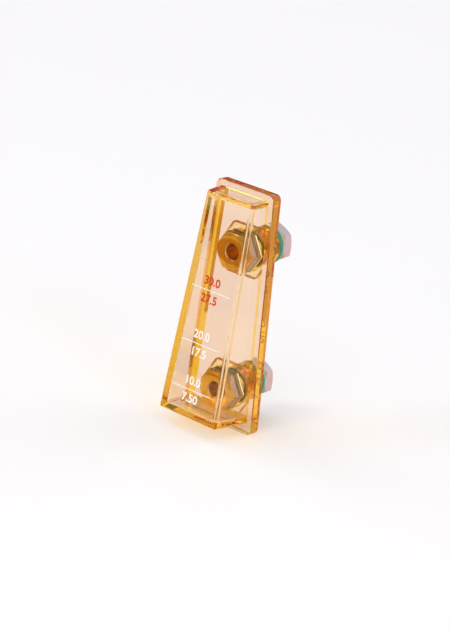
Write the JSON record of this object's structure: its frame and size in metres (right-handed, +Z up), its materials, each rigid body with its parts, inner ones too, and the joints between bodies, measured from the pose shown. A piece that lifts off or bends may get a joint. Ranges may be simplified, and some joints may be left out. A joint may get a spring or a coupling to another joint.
{
  "type": "tank level gauge",
  "caption": "Clear moulded sight gauge with a sloping window, held to a tank wall by hollow hexagon bolts, sealing rings and nuts, for reading the liquid level.",
  "frame": {"origin": "middle of the flange's back face, at half the flange's height", "axes": "+Z up the gauge, from the lower fitting to the upper one; +Y into the tank, so the window faces -Y; +X to the right as seen by whoever reads the gauge's window"},
  "size_m": [0.0476, 0.0566, 0.127],
  "materials": {
    "front_housing": "clear amber moulding, polished",
    "back_plate": "clear amber moulding, polished",
    "upper_bolt": "zinc plated, turned",
    "lower_bolt": "zinc plated, turned",
    "upper_o_ring": "dark green rubber, satin",
    "lower_o_ring": "dark green rubber, satin",
    "upper_nut": "zinc plated",
    "lower_nut": "zinc plated"
  },
  "bodies": {
    "root": {"front_housing": "front_housing", "back_plate": "back_plate", "upper_bolt": "upper_bolt", "lower_bolt": "lower_bolt", "upper_o_ring": "upper_o_ring", "lower_o_ring": "lower_o_ring", "upper_nut": "upper_nut", "lower_nut": "lower_nut"}
  },
  "joints": []
}
